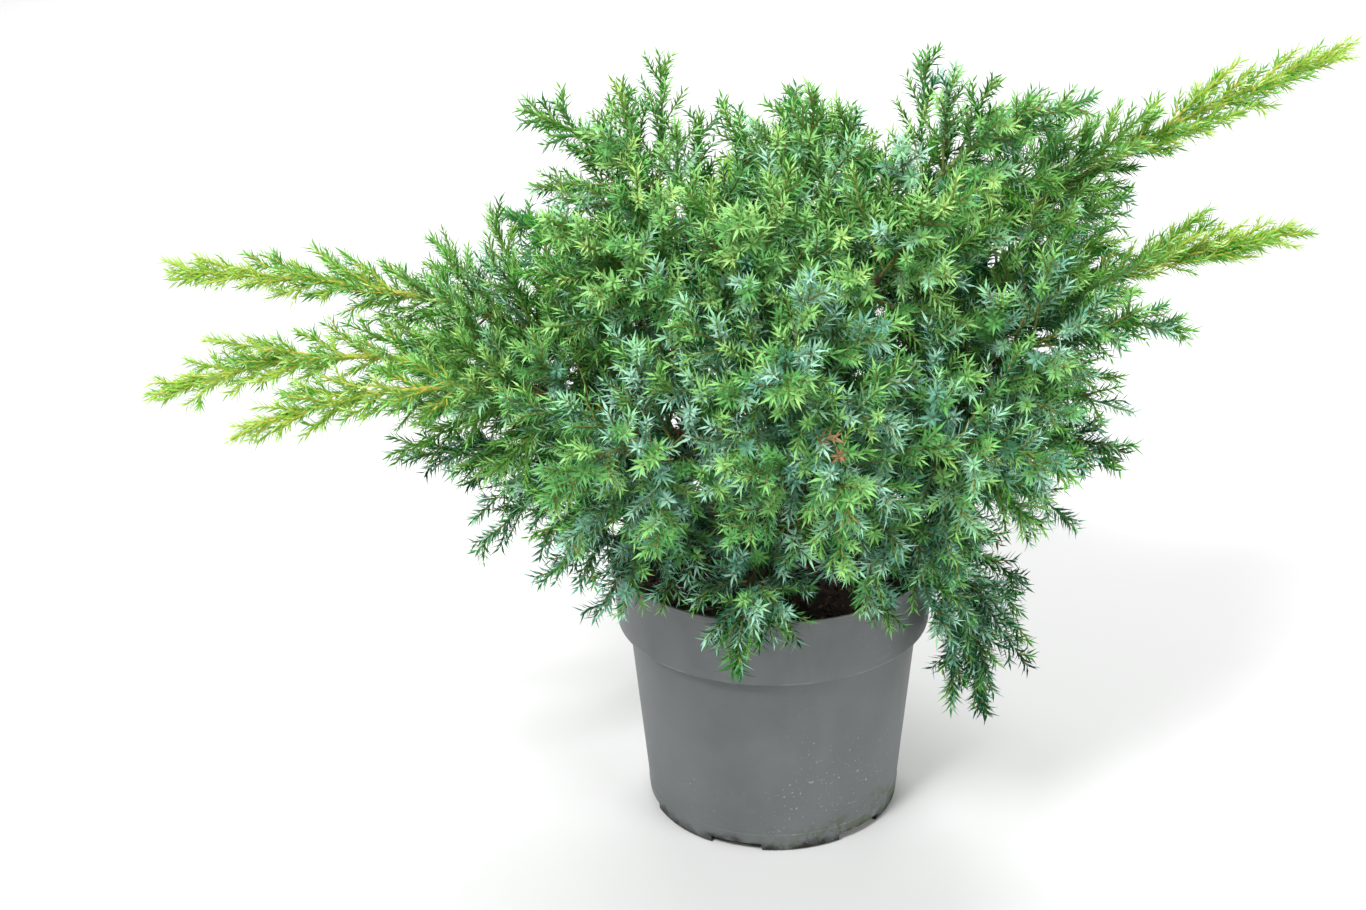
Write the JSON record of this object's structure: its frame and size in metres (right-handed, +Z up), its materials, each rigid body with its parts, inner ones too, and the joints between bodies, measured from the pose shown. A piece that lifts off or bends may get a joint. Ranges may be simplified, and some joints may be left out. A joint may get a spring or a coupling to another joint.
{
  "type": "potted juniper",
  "caption": "Low spreading juniper with short trunk, arching boughs and dense needle foliage, growing in a round tapered nursery pot filled with soil.",
  "frame": {"origin": "the middle of the pot's flat underside", "axes": "+Z up, -Y to the front that the picture shows, +X to the right in it"},
  "size_m": [0.6248, 0.4598, 0.444],
  "materials": {
    "pot_plastic": "satin",
    "potting_soil": "matte",
    "bark": "matte",
    "needles": "matte"
  },
  "bodies": {
    "root": {"pot": "pot_plastic", "soil": "potting_soil", "trunk": "bark", "bough_low_front": "bark", "bough_low_front_right": "bark", "bough_hanging_right": "bark", "bough_low_right": "bark", "bough_low_back_right": "bark", "bough_low_back_left": "bark", "bough_low_left": "bark", "bough_low_front_left": "bark", "bough_left_front": "bark", "bough_left": "bark", "bough_left_back": "bark", "bough_right": "bark", "bough_back": "bark", "bough_upper_right": "bark", "bough_front_left": "bark", "bough_front": "bark", "bough_front_right": "bark", "bough_front_upper": "bark", "bough_right_front": "bark", "bough_right_back": "bark", "bough_back_right": "bark", "bough_back_left": "bark", "bough_top_left": "bark", "bough_top_front_left": "bark", "bough_top_front": "bark", "bough_top_front_right": "bark", "bough_top_right": "bark", "bough_top_back": "bark", "foliage_low_front": "needles", "foliage_low_front_right": "needles", "foliage_hanging_right": "needles", "foliage_low_right": "needles", "foliage_low_back_right": "needles", "foliage_low_back_left": "needles", "foliage_low_left": "needles", "foliage_low_front_left": "needles", "foliage_left_front": "needles", "foliage_left": "needles", "foliage_left_back": "needles", "foliage_right": "needles", "foliage_back": "needles", "foliage_upper_right": "needles", "foliage_front_left": "needles", "foliage_front": "needles", "foliage_front_right": "needles", "foliage_front_upper": "needles", "foliage_right_front": "needles", "foliage_right_back": "needles", "foliage_back_right": "needles", "foliage_back_left": "needles", "foliage_top_left": "needles", "foliage_top_front_left": "needles", "foliage_top_front": "needles", "foliage_top_front_right": "needles", "foliage_top_right": "needles", "foliage_top_back": "needles", "foliage_leader": "needles"}
  },
  "joints": []
}
